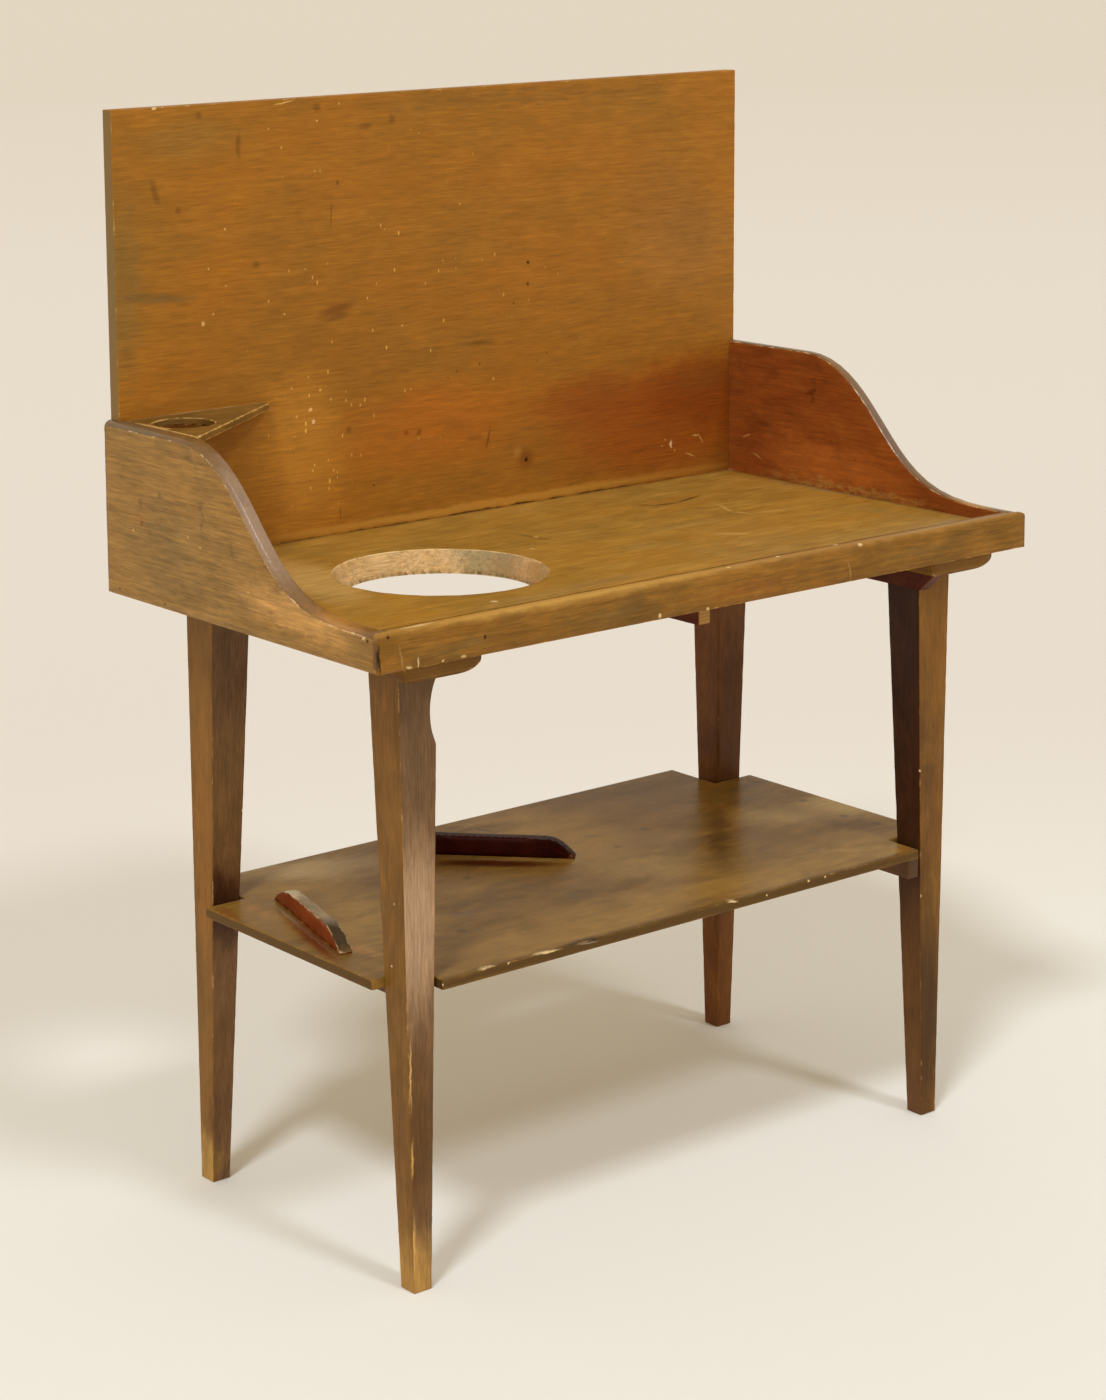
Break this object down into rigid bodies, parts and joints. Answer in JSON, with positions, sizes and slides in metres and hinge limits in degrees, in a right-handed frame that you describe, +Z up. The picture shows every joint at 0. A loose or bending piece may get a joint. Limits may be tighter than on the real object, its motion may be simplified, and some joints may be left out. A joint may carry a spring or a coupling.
{
  "type": "washstand",
  "caption": "Pine washstand with a tall backboard, ogee sides, a tray with a round basin hole, a corner cup shelf, tapered raking legs and a low pail shelf.",
  "frame": {"origin": "on the floor, under the middle of the tray", "axes": "+Z up, +Y to the back, +X to the right when facing the front"},
  "size_m": [0.96, 0.5056, 1.246],
  "materials": {
    "backboard": "waxed, worn",
    "side_boards": "waxed, worn",
    "front_rail": "waxed, worn",
    "tray_board": "waxed, worn",
    "corner_shelf": "waxed, worn",
    "legs": "satin stain",
    "bearers": "satin stain",
    "cleats": "dull stain",
    "lower_shelf": "glossy varnish",
    "shelf_battens": "satin stain",
    "guide_strips": "glossy varnish"
  },
  "bodies": {
    "root": {"backboard": "backboard", "side_board_left": "side_boards", "side_board_right": "side_boards", "front_rail": "front_rail", "tray_board": "tray_board", "corner_shelf": "corner_shelf", "leg_front_left": "legs", "leg_front_right": "legs", "leg_back_left": "legs", "leg_back_right": "legs", "bearer_left": "bearers", "bearer_right": "bearers", "centre_cleat": "cleats", "leg_cleat_right": "cleats", "lower_shelf": "lower_shelf", "shelf_batten_left": "shelf_battens", "shelf_batten_right": "shelf_battens", "guide_strip_left": "guide_strips", "guide_strip_right": "guide_strips"}
  },
  "joints": []
}
